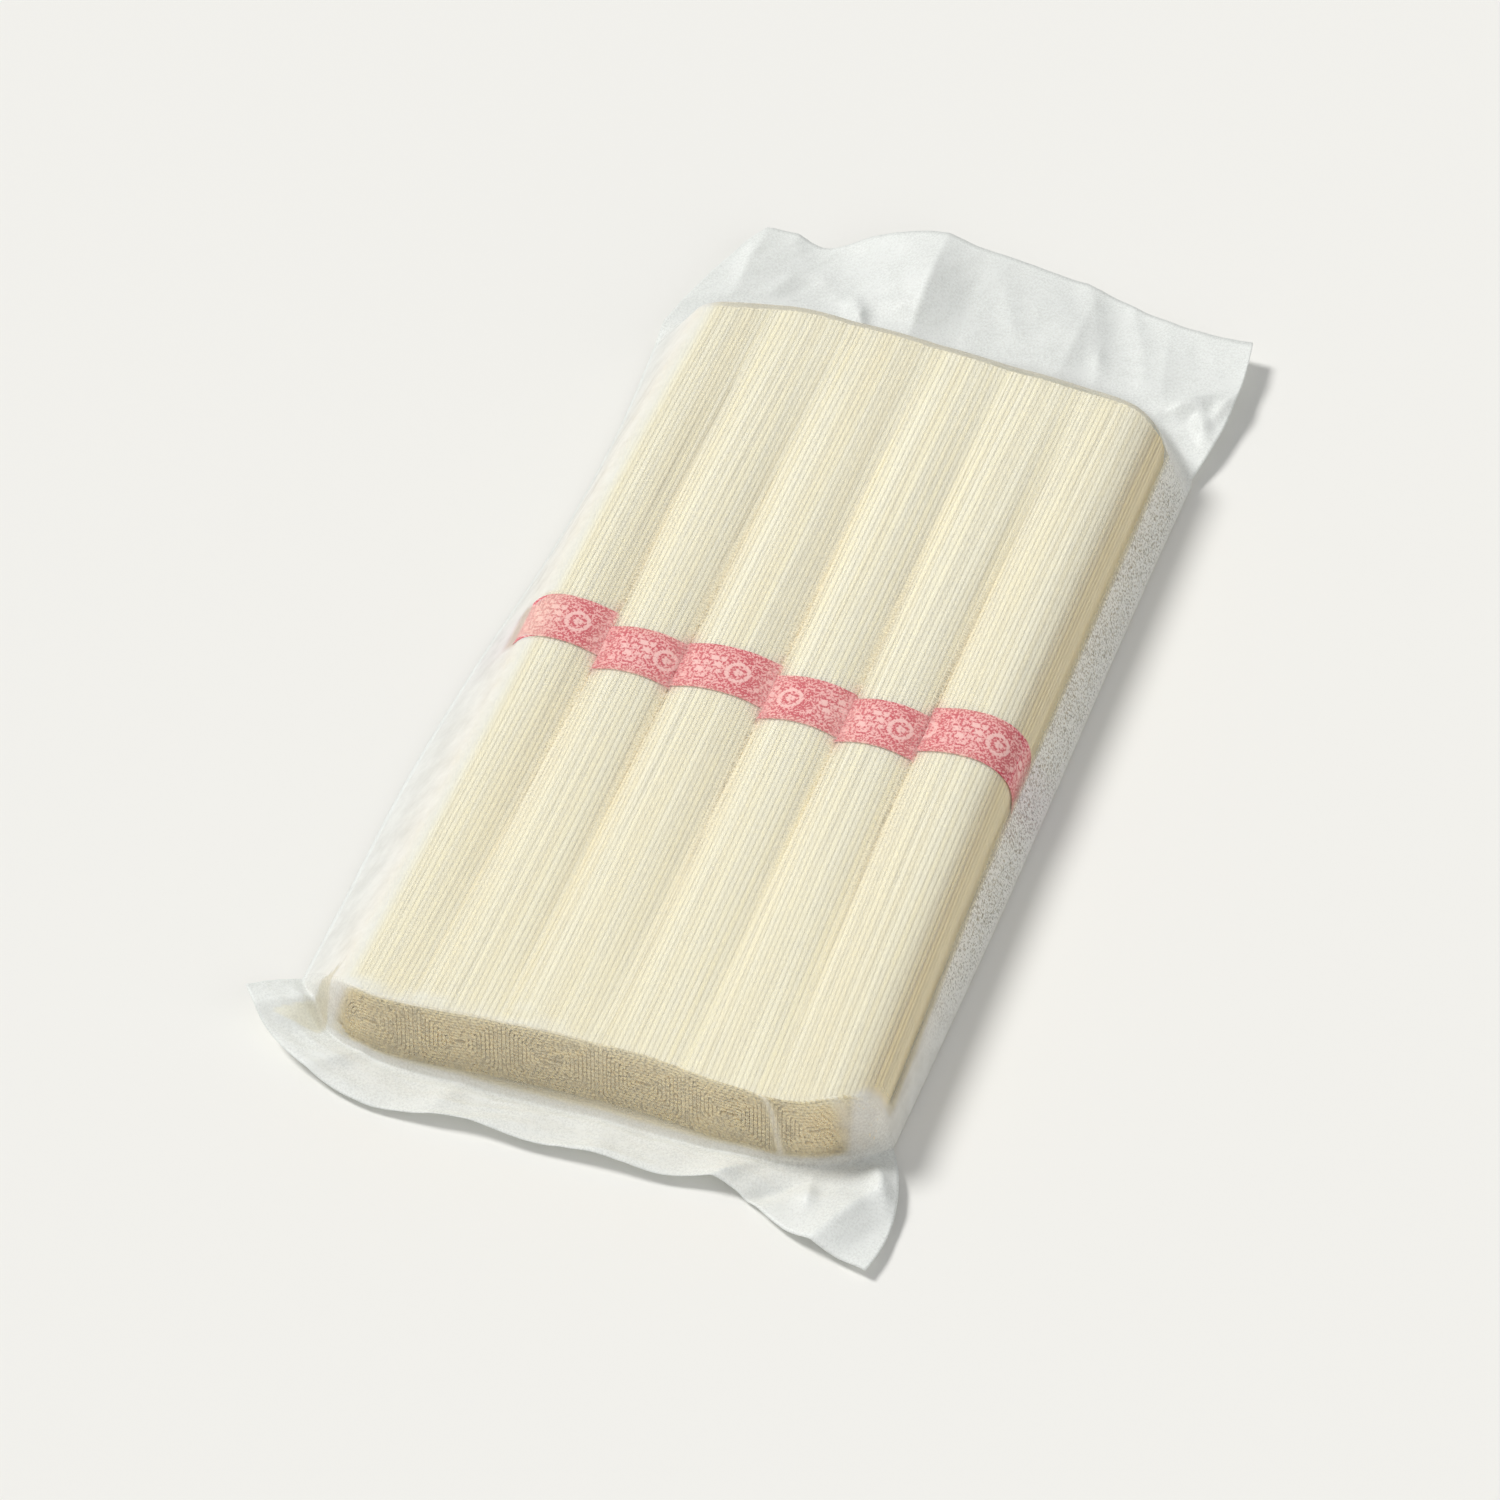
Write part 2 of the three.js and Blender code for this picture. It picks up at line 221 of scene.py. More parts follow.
# The left tip and the near edge are the solid's own ends, so they place it in the row frame.
MIDDLE_OF_NOODLES = Vector((
    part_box(SOLID)[0].x - NEAR_FIN.edge[:, 0].min(),
    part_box(SOLID)[0].y - NEAR_FIN.edge[:, 1].min(),
    0,
))


class NoodlePackSizes(PropertyGroup):
    """Sizes of the pack and its pieces."""

    noodle_length: FloatProperty(
        name="Noodle length", description="Length of a strand before its uneven cut",
        default=0.192, min=0.15, max=0.25, unit="LENGTH")
    height_at_bands: FloatProperty(
        name="Height at the bands", description="From the table to the top of the film",
        default=0.0186, min=0.01, max=0.03, unit="LENGTH")
    height_at_ends: FloatProperty(
        name="Height at the ends", description="From the table to the top of the film",
        default=0.0172, min=0.01, max=0.03, unit="LENGTH")
    valley_at_bands: FloatProperty(
        name="Valley at the bands", description="How steeply the film dips between two bundles",
        default=0.0042, min=0, max=0.01, unit="LENGTH")
    valley_at_ends: FloatProperty(
        name="Valley at the ends", description="How steeply the film dips between two bundles",
        default=0.0006, min=0, max=0.01, unit="LENGTH")
    strand_width: FloatProperty(
        name="Strand width", description="From the middle of a strand to that of the next",
        default=0.00092, min=0.0006, max=0.002, unit="LENGTH")
    band_width: FloatProperty(
        name="Band width", description="Width of the paper bands",
        default=0.0118, min=0.005, max=0.03, unit="LENGTH")
    seed: IntProperty(
        name="Seed", description="Changes how the strands and the film wander",
        default=7, min=0)


class NoodlePackLooks(PropertyGroup):
    """Colours and see-through shares of the finishes."""

    noodle_pale: FloatVectorProperty(
        name="Pale noodle", description="Lightest strands",
        default=(1.0, 0.96, 0.785), subtype="COLOR", min=0, max=1)
    noodle_deep: FloatVectorProperty(
        name="Deep noodle", description="Most yellow strands",
        default=(0.98, 0.88, 0.63), subtype="COLOR", min=0, max=1)
    # Painted shade: the warm tan of strands that lie in shade, down the sides, in the valleys and at
    # the cut ends.
    noodle_shade_tan: FloatVectorProperty(
        name="Noodle side", description="Strands down the sides, and the cut ends",
        default=(0.96, 0.74, 0.42), subtype="COLOR", min=0, max=1)
    film_white: FloatVectorProperty(
        name="Film", description="Milky white of the film",
        default=(0.925, 0.945, 0.925), subtype="COLOR", min=0, max=1)
    # Painted light: a cream tint in the film's milk over the noodles, for the yellow light that the
    # noodles send into it.
    film_noodle_light: FloatVectorProperty(
        name="Film on the noodles", description="Milky tint of the film where it lies on noodles",
        default=(1.0, 0.97, 0.80), subtype="COLOR", min=0, max=1)
    # Painted light: pink in the film's milk near the bands, for the light that the paper sends into
    # it.
    film_paper_light: FloatVectorProperty(
        name="Film at the bands", description="Milky tint of the film round the paper in a valley",
        default=(0.95, 0.62, 0.60), subtype="COLOR", min=0, max=1)
    film_touching: FloatProperty(
        name="Milkiness on the noodles", description="How much the film hides what it touches",
        default=0.10, min=0, max=1, subtype="FACTOR")
    film_free: FloatProperty(
        name="Milkiness when free", description="How much the film hides what is away from it",
        default=0.92, min=0, max=1, subtype="FACTOR")
    paper_pink: FloatVectorProperty(
        name="Paper", description="Pale pink ground of the bands",
        default=(0.90, 0.47, 0.46), subtype="COLOR", min=0, max=1)
    paper_rose: FloatVectorProperty(
        name="Print", description="Deeper rose of the bands' print",
        default=(0.56, 0.04, 0.08), subtype="COLOR", min=0, max=1)
    paper_mark: FloatVectorProperty(
        name="Marks", description="Pale marks in the print",
        default=(0.94, 0.72, 0.68), subtype="COLOR", min=0, max=1)


class NoodlePackStage(PropertyGroup):
    """Camera, light and floor."""

    azimuth: FloatProperty(
        name="Camera azimuth", description="Turned from the near end towards the right side",
        default=math.radians(18.753), subtype="ANGLE")
    elevation: FloatProperty(
        name="Camera elevation", description="Above the table",
        default=math.radians(46.345), subtype="ANGLE")
    distance: FloatProperty(
        name="Camera distance", description="From the point that it looks at",
        default=1.7143, min=0.1, unit="LENGTH")
    lens: FloatProperty(
        name="Focal length", description="In millimetres, on a sensor 36 mm wide",
        default=215.9, min=10)
    sun_strength: FloatProperty(
        name="Light strength", description="Strength of the soft light from the left",
        default=2.47, min=0)
    sun_elevation: FloatProperty(
        name="Light elevation", description="Above the table",
        default=math.radians(49), subtype="ANGLE")
    sun_azimuth: FloatProperty(
        name="Light azimuth", description="Where it comes from, turned from -X towards +Y",
        default=math.radians(6), subtype="ANGLE")
    side_strength: FloatProperty(
        name="Side light strength", description="Strength of the wide, weak light from the right",
        default=0.98, min=0)
    sun_size: FloatProperty(
        name="Light size", description="Angle that the light fills, for soft shadows",
        default=math.radians(17), subtype="ANGLE")
    fill: FloatProperty(
        name="Fill light", description="Strength of the even light from all round",
        default=0.36, min=0)
    floor: FloatVectorProperty(
        name="Floor", description="Colour of the table",
        default=(0.846, 0.842, 0.811), subtype="COLOR", min=0, max=1)


# The form of the pack. Lengths are in metres, from the middle of the noodles.


def mix(a, b, share):
    return a + (b - a) * share


def ease(share):
    """From 0 to 1 with level ends."""
    share = np.clip(share, 0, 1)
    return share * share * (3 - 2 * share)


def through(values, share):
    """A smooth curve through evenly spaced values, at shares of its length."""
    place = np.clip(share, 0, 1) * (len(values) - 1)
    index = np.minimum(place.astype(int), len(values) - 2)
    a, b, c, d = (values[np.clip(index + step, 0, len(values) - 1)] for step in (-1, 0, 1, 2))
    t = (place - index).reshape(place.shape + (1,) * (values.ndim - 1))
    return b + 0.5 * t * (c - a + t * (2 * a - 5 * b + 4 * c - d + t * (3 * (b - c) + d - a)))


def soft_noise(x, y, wave, seed):
    """Smooth random hills between -1 and 1, about one wave apart."""
    table = np.random.default_rng(seed).uniform(-1, 1, (64, 64))
    u, v = x / wave, y / wave
    i, j = np.floor(u).astype(int), np.floor(v).astype(int)
    across, along = ease(u - i), ease(v - j)
    near = mix(table[i % 64, j % 64], table[(i + 1) % 64, j % 64], across)
    far = mix(table[i % 64, (j + 1) % 64], table[(i + 1) % 64, (j + 1) % 64], across)
    return mix(near, far, along)


def round_share(u, power):
    """Height of a round lobe, 1 in its middle and 0 at its edges, where u is -1 and 1."""
    return (1 - np.minimum(1, np.abs(u)) ** power) ** (1 / power)


def outer_half(index, u):
    """Whether a place is in the half of the first or last bundle that has no neighbour."""
    return ((index == 0) & (u < 0)) | ((index == LAST_BUNDLE) & (u > 0))


class PackForm:
    """Where the film and the noodles lie, worked out from the sizes."""

    def __init__(self, sizes):
        self.half_length = sizes.noodle_length / 2
        self.heights = sizes.height_at_ends, sizes.height_at_bands
        self.valleys = sizes.valley_at_ends, sizes.valley_at_bands
        self.tangent_y = np.linspace(-0.13, 0.13, 131)
        self.tangents = {side: self.leaving_film(side) for side in (-1, 1)}

    def bulge(self, y):
        """1 at the bands and 0 at the ends."""
        return 1 - np.minimum(1, np.abs(y) / self.half_length) ** 2.2

    def flank(self, side, y):
        start, spread = ((LEFT_FLANK, LEFT_SPREAD), (RIGHT_FLANK, RIGHT_SPREAD))[side > 0]
        nearness = np.clip(-y / self.half_length, 0, 1) ** 1.5
        farness = np.clip(y / self.half_length, 0, 1) ** 1.5
        return start + spread[0] * nearness + spread[1] * farness

    def crease(self, side, y):
        share = (y - CREASE_ENDS[0]) / (CREASE_ENDS[1] - CREASE_ENDS[0])
        return through(LEFT_CREASE if side < 0 else RIGHT_CREASE, np.asarray(share))

    def x_at(self, across, y):
        return mix(self.crease(-1, y), self.crease(1, y), across)

    def across_at(self, x, y):
        left = self.crease(-1, y)
        return np.clip((x - left) / (self.crease(1, y) - left), 0, 1)

    def height(self, y):
        return mix(*self.heights, self.bulge(y))

    def edges(self, y):
        """Borders between the bundles, along a new last axis. Widths even out at the ends."""
        evenness = 0.5 * (1 - self.bulge(y))[..., None]
        shares = mix(BUNDLE_WIDTHS / BUNDLE_WIDTHS.sum(), 1 / len(BUNDLE_WIDTHS), evenness)
        left, right = self.flank(-1, y)[..., None], self.flank(1, y)[..., None]
        inner = left + np.cumsum(shares, axis=-1) * (right - left)
        return np.concatenate([left, inner], axis=-1)

    def place(self, x, y):
        """Which bundle a place is in, how far it is across it, from -1 to 1, and its half width."""
        edges = self.edges(y)
        index = (edges[..., 1:-1] <= x[..., None]).sum(axis=-1)
        left = np.take_along_axis(edges, index[..., None], -1)[..., 0]
        right = np.take_along_axis(edges, index[..., None] + 1, -1)[..., 0]
        half = (right - left) / 2
        return index, (x - left - half) / half, half

    def valley(self, x, y):
        """1 at the bottom of a valley between two bundles, and 0 away from one."""
        index, u, half = self.place(x, y)
        border = (1 - np.abs(u)) * half
        bottom = np.exp(-(border / (1.9 * MM)) ** 2)
        return np.where(outer_half(index, u), 0, bottom) * self.bulge(y) ** 2

    def paper(self, x, y, fade=1 * MM):
        """1 where the film lies on a paper band, and 0 on the noodles, over the length of fade."""
        index, _, _ = self.place(x, y)
        half_band = 5.4 * MM
        return ease((half_band + fade - np.abs(y - BAND_PLACES[index])) / fade)

    def lobes(self, x, y):
        """Height of the film where it lies on the bundles."""
        index, u, half = self.place(x, y)
        flank = outer_half(index, u)
        border = np.hypot((1 - np.minimum(1, np.abs(u))) * half, VALLEY_SOFTNESS)
        u = np.where(flank, u, np.maximum(0, 1 - border / half))
        fall = np.where(flank, self.height(y) / 2, mix(*self.valleys, self.bulge(y)))
        return self.height(y) - fall * (1 - round_share(u, LOBE_ROUNDNESS))

    def leaving_film(self, side):
        """Where the film leaves a flank on its straight way to the crease, and how steeply."""
        y = self.tangent_y[:, None]
        edges = self.edges(self.tangent_y)
        middle = (edges[:, :2] if side < 0 else edges[:, -2:]).mean(axis=1)[:, None]
        tries = mix(middle, self.flank(side, y), np.linspace(0, 0.99, 80))
        rise = self.lobes(tries, y + 0 * tries) - CREASE_LIFT - CREASE_THICKNESS
        steepness = rise / np.abs(self.crease(side, y) - tries)
        best = steepness.argmax(axis=1)[:, None]
        return [np.take_along_axis(a, best, 1)[:, 0] for a in (tries, steepness)]

    def film_over_noodles(self, x, y):
        height = self.lobes(x, y)
        for side, (leave, steepness) in self.tangents.items():
            beyond = side * (x - np.interp(y, self.tangent_y, leave)) > 0
            run = np.abs(self.crease(side, y) - x)
            straight = CREASE_LIFT + CREASE_THICKNESS
            straight = straight + np.interp(y, self.tangent_y, steepness) * run
            height = np.where(beyond, straight, height)
        return height

    def end_y(self, fin, across):
        return fin.side * (self.half_length + through(fin.reach, across))

    def root(self, fin, across):
        """Middle of the film where a fin starts."""
        middle, left, right = fin.roots
        towards_side = np.abs(2 * across - 1) ** fin.squareness
        y = fin.side * mix(middle, np.where(across < 0.5, left, right), towards_side)
        x = self.x_at(across, y)
        return np.stack([x, y, fin.root_height + np.maximum(0, fin.lift(x, y))], axis=-1)

    def slope(self, fin, across, out):
        """The film between the top edge of an end, where out is 0, and the fin, where it is 1."""
        root, end = self.root(fin, across), self.end_y(fin, across)
        y = mix(end, root[..., 1], out)
        x = self.x_at(across, y)
        first, second = fin.slope
        left = (1 - out ** first) ** second
        z = mix(fin.root_height + CREASE_THICKNESS / 2, self.film_over_noodles(x, end), left)
        return np.stack([x, y, z + np.maximum(0, fin.lift(x, y)) * ease(out)], axis=-1)

    def film_height(self, x, y):
        """Height of the film over the noodles and over the ends, out to the fins."""
        height = self.film_over_noodles(x, y)
        across = self.across_at(x, y)
        for fin in (NEAR_FIN, FAR_FIN):
            end, root = self.end_y(fin, across), self.root(fin, across)[..., 1]
            out = np.clip((y - end) / (root - end), 0, 1)
            height = np.where(out > 0, self.slope(fin, across, out)[..., 2], height)
        return height

    def underside(self, across, x, y):
        """Height of the film under the noodles: flat, and lifted at the sides and ends."""
        crease = np.where(x < 0, -self.crease(-1, y), self.crease(1, y))
        beyond = (np.abs(x) - FLAT_HALF_WIDTH) / (crease - FLAT_HALF_WIDTH)
        lift = CREASE_LIFT * np.clip(beyond, 0, 1)
        for fin in (NEAR_FIN, FAR_FIN):
            root = self.root(fin, across)
            rise = (fin.side * y - fin.flat_end) / (fin.side * root[..., 1] - fin.flat_end)
            lift = np.maximum(lift, np.clip(rise, 0, 1) * (root[..., 2] - CREASE_THICKNESS / 2))
        return lift

    def fin(self, fin, across, out):
        """Middle of the film in a fin: out is 0 at its root and 1 at its edge."""
        root = self.root(fin, across)
        root_lift = root[..., 2] - fin.root_height
        place = mix(root, through(fin.edge, across), out[..., None])
        place[..., 0] += 4 * out * (1 - out) * mix(*fin.bow, across)
        lift = fin.lift(place[..., 0], place[..., 1]) - root_lift * (1 - out)
        place[..., 2] += lift * ease(out / 0.15)
        return place

    # The noodles.

    def section(self, index, y):
        """Middle, half width, and how square the left and right corners of a bundle are at y."""
        edges = self.edges(y)
        middle = (edges[..., index] + edges[..., index + 1]) / 2
        half = (edges[..., index + 1] - edges[..., index]) / 2
        inner = mix(*INNER_CORNERS, self.bulge(y))
        outer = LOBE_ROUNDNESS + 0.1
        left = np.where(index == 0, outer, inner)
        right = np.where(index == LAST_BUNDLE, outer, inner)
        return middle, half, left, right

    def noodle_span(self, y):
        """Lowest and highest place of the noodles."""
        return NOODLE_BOTTOM + 0 * y, self.height(y) - FILM_CLEARANCE

    def outline(self, index, y, inset, steps):
        """A bundle's outline, drawn in from its surface, at even steps from its top centre.

        y is a line of places. The result has X and Z for each place and step, clockwise as seen
        from the near end, and the length of each outline.
        """
        middle, half, left, right = (a[:, None] for a in self.section(index, y))
        low, high = (a[:, None] for a in self.noodle_span(y))
        angle = np.linspace(0, 2 * math.pi, 481)[None, :]
        sine, cosine = np.sin(angle), np.cos(angle)
        upper = np.where(sine >= 0, right, left)
        power = 2 / np.where(cosine >= 0, upper, upper + SQUARER_BELOW)
        room_left = -FILM_CLEARANCE if index == 0 else BORDER_OVERLAP
        room_right = -FILM_CLEARANCE if index == LAST_BUNDLE else BORDER_OVERLAP
        reach = half - inset + np.where(sine < 0, room_left, room_right)
        x = middle + np.sign(sine) * np.abs(sine) ** power * reach
        z = np.sign(cosine) * np.abs(cosine) ** power * ((high - low) / 2 - inset)
        film = self.film_over_noodles(x, y[:, None] + 0 * x)
        z = np.minimum((low + high) / 2 + z, film - FILM_CLEARANCE - inset)
        walked = np.cumsum(np.hypot(np.diff(x), np.diff(z)), axis=1)
        walked = np.concatenate([np.zeros((len(y), 1)), walked], axis=1)
        even = np.linspace(0, 1, steps)
        xs = [np.interp(even * w[-1], w, row) for w, row in zip(walked, x)]
        zs = [np.interp(even * w[-1], w, row) for w, row in zip(walked, z)]
        return np.array(xs), np.array(zs), walked[:, -1]


# Meshes and materials.


def new_piece(name, vertices, faces):
    """A mesh object in the row frame that stands for the solid and rides on its body."""
    mesh = bpy.data.meshes.new(name)
    mesh.from_pydata((vertices + np.array(MIDDLE_OF_NOODLES)).tolist(), [], faces)
    mesh.polygons.foreach_set("use_smooth", [True] * len(mesh.polygons))
    mesh.update()
    piece = bpy.data.objects.new(name, mesh)
    bpy.context.scene.collection.objects.link(piece)
    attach(piece, next(iter(frame["bodies"])))
    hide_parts(SOLID)
    return piece


def tube_faces(rings, points, start=0):
    """Quads of an open tube of rings of points, from a first vertex on."""
    r, c = np.meshgrid(np.arange(rings - 1), np.arange(points), indexing="ij")
    right = (c + 1) % points
    quads = [r * points + c, r * points + right, (r + 1) * points + right, (r + 1) * points + c]
    return (np.stack(quads, axis=-1).reshape(-1, 4) + start).tolist()


def flat_tube_faces(rings, columns):
    """Quads of a flat tube with shut ends.

    Each ring goes over its columns and comes back under them.
    """
    points = 2 * columns
    faces = tube_faces(rings, points)
    for start, turned in ((0, False), ((rings - 1) * points, True)):
        for column in range(columns - 1):
            below = points - 1 - column
            quad = [column, below, below - 1, column + 1]
            faces.append([start + corner for corner in (quad[::-1] if turned else quad)])
    return faces


def point_values(piece, name, values):
    attribute = piece.data.attributes.new(name, "FLOAT", "POINT")
    attribute.data.foreach_set("value", np.asarray(values, np.float32))


class Finish:
    """A node material under construction."""

    def __init__(self, name):
        self.material = bpy.data.materials.new(name)
        self.material.use_nodes = True
        self.tree = self.material.node_tree
        self.tree.nodes.clear()

    def add(self, kind, inputs=None, **settings):
        """A node. Inputs are values or the outputs that feed them, by name or number."""
        node = self.tree.nodes.new("ShaderNode" + kind)
        for name, value in settings.items():
            setattr(node, name, value)
        for key, value in (inputs or {}).items():
            if isinstance(value, bpy.types.NodeSocket):
                self.tree.links.new(value, node.inputs[key])
            else:
                node.inputs[key].default_value = value
        return node

    def maths(self, operation, *values, clamp=False):
        inputs = dict(enumerate(values))
        return self.add("Math", inputs, operation=operation, use_clamp=clamp).outputs[0]

    def times(self, a, b):
        return self.maths("MULTIPLY", a, b)

    def blend(self, share, a, b):
        """A mix of two colours."""
        return self.add("Mix", {0: share, 6: a, 7: b}, data_type="RGBA").outputs[2]

    def spread(self, value, low, high, to_low=0.0, to_high=1.0):
        """A value moved from one range to another, and kept in it."""
        inputs = {0: value, 1: low, 2: high, 3: to_low, 4: to_high}
        return self.add("MapRange", inputs).outputs[0]

    def noise(self, place, scale, detail=2.0, roughness=0.5):
        inputs = {"Vector": place, "Scale": scale, "Detail": detail, "Roughness": roughness}
        return self.add("TexNoise", inputs).outputs[0]

    def bump(self, height, distance, strength=1.0):
        inputs = {"Height": height, "Distance": distance, "Strength": strength}
        return self.add("Bump", inputs).outputs[0]

    def finish(self, surface):
        self.add("OutputMaterial", {"Surface": surface})
        return self.material


def colour(values):
    return (*values, 1.0)


def noodle_finish(looks):
    """Matt dried dough: pale and deeper strands, long patches and a fine grain, and painted shade: a
    warm tan down the sides, in the valleys and on the cut ends.
    """
    f = Finish("dried_noodle")
    place = f.add("TexCoord").outputs["Object"]
    tone = f.add("Attribute", attribute_name="tone").outputs["Fac"]
    along = f.add("Mapping", {"Vector": place, "Scale": (1.0, 0.08, 1.0)}).outputs[0]
    patches = f.noise(along, 260.0, 3.0)
    flour = f.noise(place, 1400.0, 3.0, 0.6)
    share = f.maths("ADD", f.times(tone, 0.5), f.times(patches, 0.5))
    base = f.blend(f.spread(share, 0.35, 0.9), colour(looks.noodle_pale), colour(looks.noodle_deep))
    # Painted shade: tan where a strand lies low on a side, in a valley or at its cut end.
    down = f.add("Attribute", attribute_name="down").outputs["Fac"]
    base = f.blend(f.times(down, 0.9), base, colour(looks.noodle_shade_tan))
    surface = f.add("BsdfPrincipled", {
        "Base Color": base,
        "Roughness": 0.75,
        "Specular IOR Level": 0.15,
        "Subsurface Weight": 0.7,
        "Subsurface Radius": (1.0, 1.0, 1.0),
        "Subsurface Scale": 0.0008,
        "Normal": f.bump(flour, 0.00005, 0.3),
    })
    return f.finish(surface.outputs[0])


def film_finish(looks):
    """Thin satin film, clear where it touches the noodles and milkier where it stands off, with
    painted light in its milk: cream over the noodles and pink by the paper bands.
    """
    f = Finish("see_through_film")
    place = f.add("TexCoord").outputs["Object"]
    haze = f.add("Attribute", attribute_name="haze").outputs["Fac"]
    speckle = f.add("Attribute", attribute_name="grain").outputs["Fac"]
    # Painted light: the share of pink from the paper behind the film.
    paper_light = f.add("Attribute", attribute_name="paper_light").outputs["Fac"]
    grain = f.noise(place, 2100.0, 2.0, 0.7)
    clouds = f.noise(place, 150.0, 4.0, 0.6)
    uneven = f.maths("ADD", f.times(speckle, f.spread(grain, 0.38, 0.62, -0.9, 0.9)),
                     f.spread(clouds, 0.3, 0.7, -0.12, 0.12))
    milk = f.spread(haze, 0.0, 1.0, looks.film_touching, looks.film_free)
    milk = f.maths("MULTIPLY", milk, f.maths("ADD", 1.0, uneven), clamp=True)
    # Painted light: the milk turns cream where it is thin, over the noodles, and pink by the paper,
    # for the light from what lies behind it.
    white = f.blend(f.spread(haze, 0.45, 0.8), colour(looks.film_noodle_light), colour(looks.film_white))
    white = f.blend(paper_light, white, colour(looks.film_paper_light))
    body = f.add("BsdfPrincipled", {
        "Base Color": white,
        "Roughness": 0.42,
        "Specular IOR Level": 0.35,
        "Normal": f.bump(f.times(grain, speckle), 0.00008, 0.5),
    })
    glow = f.add("BsdfTranslucent", {"Color": white})
    milky = f.add("MixShader", {0: 0.28, 1: body.outputs[0], 2: glow.outputs[0]})
    clear = f.add("BsdfTransparent")
    veil = f.add("MixShader", {0: milk, 1: clear.outputs[0], 2: milky.outputs[0]})
    return f.finish(veil.outputs[0])


def paper_finish(looks):
    """Thin pink paper with a faded print: blocks of pale dashes, pale rings and deeper specks."""
    f = Finish("printed_paper")
    uv = f.add("UVMap", uv_map="around").outputs[0]
    loose = f.add("TexNoise", {"Vector": uv, "Scale": 900.0, "Detail": 2.0}).outputs[1]
    loose = f.add("VectorMath", {0: loose, 1: (0.0008, 0.0008, 0.0)}, operation="MULTIPLY").outputs[0]
    parts = f.add("SeparateXYZ", {
        0: f.add("VectorMath", {0: uv, 1: loose}, operation="ADD").outputs[0],
    })
    around = f.maths("WRAP", parts.outputs[0], 0.0075, -0.0075)
    along = f.maths("SUBTRACT", parts.outputs[1], 0.0004)
    dashes = f.add("TexBrick", {
        "Vector": f.add("CombineXYZ", {0: around, 1: along}).outputs[0],
        "Color1": (1, 1, 1, 1), "Color2": (0, 0, 0, 1), "Mortar": (0, 0, 0, 1),
        "Scale": 1.0, "Mortar Size": 0.00045, "Mortar Smooth": 0.8, "Bias": -0.2,
        "Brick Width": 0.0021, "Row Height": 0.0017,
    }).outputs[0]
    aside = f.maths("ABSOLUTE", along)
    block = f.spread(f.maths("ABSOLUTE", f.maths("ADD", around, 0.0026)), 0.0036, 0.0042, 1.0, 0.0)
    block = f.times(block, f.spread(aside, 0.0036, 0.0044, 1.0, 0.0))
    dashes = f.times(dashes, block)
    beside = f.add("CombineXYZ", {0: f.maths("SUBTRACT", around, 0.0044), 1: along}).outputs[0]
    away = f.add("VectorMath", {0: beside}, operation="LENGTH").outputs["Value"]
    rings = f.maths("SINE", f.times(away, 3600.0))
    rings = f.times(f.spread(rings, -0.2, 0.7), f.spread(away, 0.0027, 0.0031, 1.0, 0.0))
    pale = f.maths("MAXIMUM", dashes, rings)

    grain = f.noise(uv, 2000.0, 2.0, 0.7)
    blots = f.noise(uv, 420.0, 3.0, 0.6)
    ink = f.maths("SUBTRACT", f.spread(blots, 0.35, 0.65, -0.1, 0.35), f.times(pale, 0.55))
    specks = f.spread(f.maths("ADD", grain, f.times(ink, 0.22)), 0.475, 0.54)
    base = f.blend(f.times(specks, 0.9), colour(looks.paper_pink), colour(looks.paper_rose))
    base = f.blend(f.times(pale, 0.35), base, colour(looks.paper_mark))
    surface = f.add("BsdfPrincipled", {
        "Base Color": base,
        "Roughness": 0.75,
        "Specular IOR Level": 0.25,
        "Normal": f.bump(grain, 0.00004, 0.5),
    })
    return f.finish(surface.outputs[0])


# The pieces.

FILM_COLUMNS = 220
BODY_ROWS = 97
SLOPE_ROWS = 26
FIN_ROWS = 22
FIN_EDGE_THICKNESS = 0.2 * MM
PLAIN_GRAIN = 0.12  # of the film in the fins and over the ends

# The tucked-in corner of single film at the near left, as X and Y.
TUCKED_CORNER = np.array([[-63.5, -96.7], [-53.5, -96.3], [-51.6, -87.2]]) * MM

# Pleats in the film down the near end: X at the top, X at the foot and width, in millimetres, and
# how milky they are.
PLEATS = ((32, 38, 1.1, 1.0), (44, 51, 2.8, 0.9), (51, 54, 1.0, 0.6))


def crinkle(across, out, seed):
    """Fine creases of the free film, in metres: keen ridges over soft waves."""
    x, y = across * 110, out * 26
    ridges = 1 - 2 * np.abs(soft_noise(x + 0.4 * y, y, 9.0, seed))
    fine = 1 - 2 * np.abs(soft_noise(x - 0.5 * y, y, 3.6, seed + 1))
    return (0.32 * ridges + 0.09 * fine + 0.25 * soft_noise(x, y, 16.0, seed + 2)) * MM


def near_veil(across, outward, seed):
    """The milky strip where the film stands off from the near end's top edge, mostly left."""
    ragged = 2.5 * MM * soft_noise(across * 20, outward / MM, 1.0, seed + 5)
    strip = ease((outward + 9 * MM + ragged) / (9 * MM))
    strip = strip * (1 - ease((outward - 0.3 * MM) / (0.5 * MM)))
    return strip * (1 - ease((across - 0.3) / 0.6)) * ease((across - 0.02) / 0.1)


def corner_veil(across, left):
    """The milky film at both corners of an end, up to a share of the way from the left."""
    return 0.9 * ease(np.maximum((left - across) / 0.05, (across - 0.92) / 0.035))


def gusset(x, y):
    """1 in the tucked-in corner of single film at the near left, and 0 outside it."""
    inside = np.ones_like(x)
    for start, end in zip(TUCKED_CORNER, np.roll(TUCKED_CORNER, -1, axis=0)):
        run = (end - start) / np.linalg.norm(end - start)
        depth = (y - start[1]) * run[0] - (x - start[0]) * run[1]
        inside = inside * ease(0.5 + depth / (0.8 * MM))
    return inside


